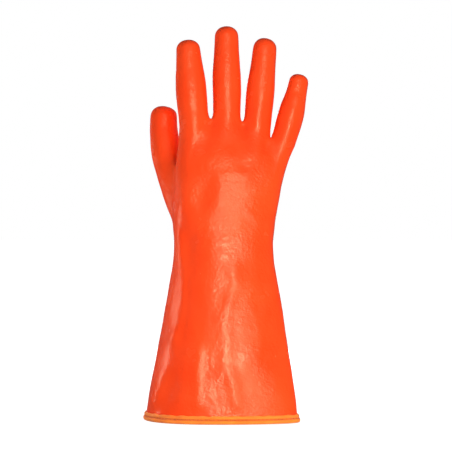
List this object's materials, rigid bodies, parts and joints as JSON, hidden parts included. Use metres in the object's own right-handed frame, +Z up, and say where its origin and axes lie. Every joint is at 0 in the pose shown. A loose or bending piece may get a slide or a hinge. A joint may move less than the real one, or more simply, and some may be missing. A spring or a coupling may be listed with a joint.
{
  "type": "pvc coated work glove",
  "caption": "Right-hand gauntlet glove, dipped in smooth PVC, with a flared cuff and a sewn binding round its hem.",
  "frame": {"origin": "on the floor, below the middle of the glove's bounding box, with the glove standing on its hem", "axes": "+Z up along the fingers, -Y out of the back of the hand, +Y out of the palm, -X to the thumb side"},
  "size_m": [0.1488, 0.0878, 0.355],
  "materials": {
    "coating": "smooth, softly glossy orange PVC",
    "binding": "lighter orange coated tape, folded and sewn"
  },
  "bodies": {
    "root": {"glove_shell": "coating", "cuff_binding": "binding"}
  },
  "joints": []
}
